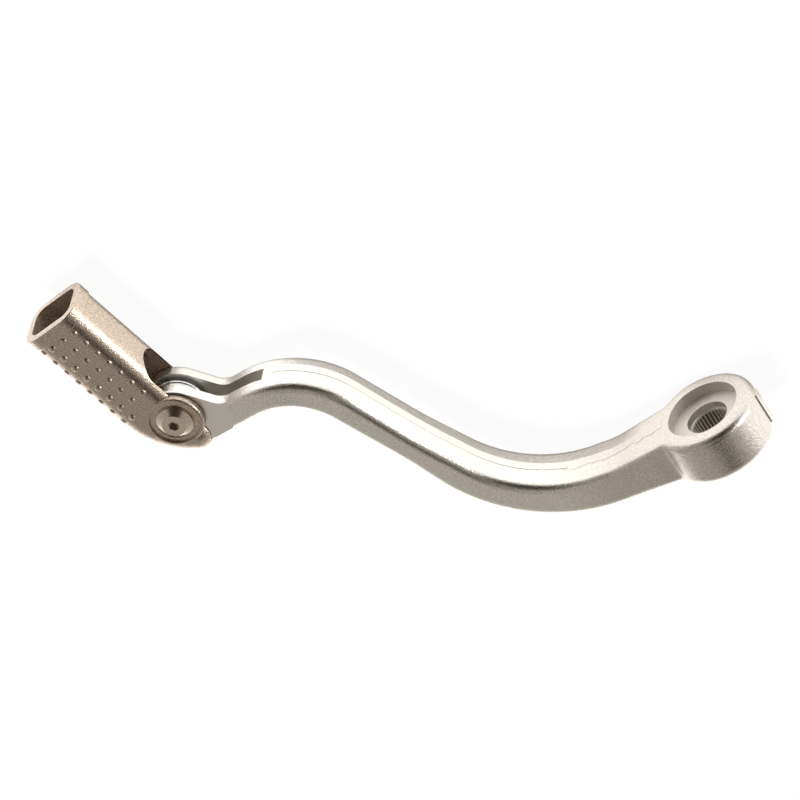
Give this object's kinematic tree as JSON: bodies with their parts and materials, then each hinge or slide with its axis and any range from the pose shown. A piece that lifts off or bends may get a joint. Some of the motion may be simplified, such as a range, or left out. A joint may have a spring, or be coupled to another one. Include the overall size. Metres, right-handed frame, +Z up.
{
  "type": "motorcycle gear shift lever",
  "caption": "S-bent forged aluminium gear shift lever with a splined hub at one end and a spring-loaded hollow toe peg that folds on a pivot bolt at the other.",
  "frame": {"origin": "on the shift shaft's axis, in the middle plane of the arm", "axes": "+Y along the splined bore, out of the hub's recessed face towards the rider's foot; the arm runs towards -X; +Z up, along the folding pivot towards the bolt head"},
  "size_m": [0.1743, 0.1249, 0.0308],
  "materials": {
    "forged_aluminium": "shot-blasted and clear anodised",
    "bronze_casting": "cast, blasted and nickel plated in a warm bronze grey",
    "bronze_steel": "turned and plated in a warm bronze grey",
    "zinc_spring": "bright zinc",
    "zinc_sleeve": "turned, bright zinc"
  },
  "bodies": {
    "arm": {"lever_arm": "forged_aluminium", "return_spring": "zinc_spring", "spring_sleeve": "zinc_sleeve"},
    "peg": {"toe_peg": "bronze_casting", "pivot_bolt": "bronze_steel"}
  },
  "joints": [
    {"name": "peg_fold", "type": "hinge", "parent": "arm", "child": "peg", "pos_m": [-0.1342, 0.0732, 0], "axis": [0, 0, -1], "range_deg": [0, 85], "stiffness_Nm_per_rad": 0.35, "springref_deg": -45.84, "deforming": ["return_spring"]}
  ]
}
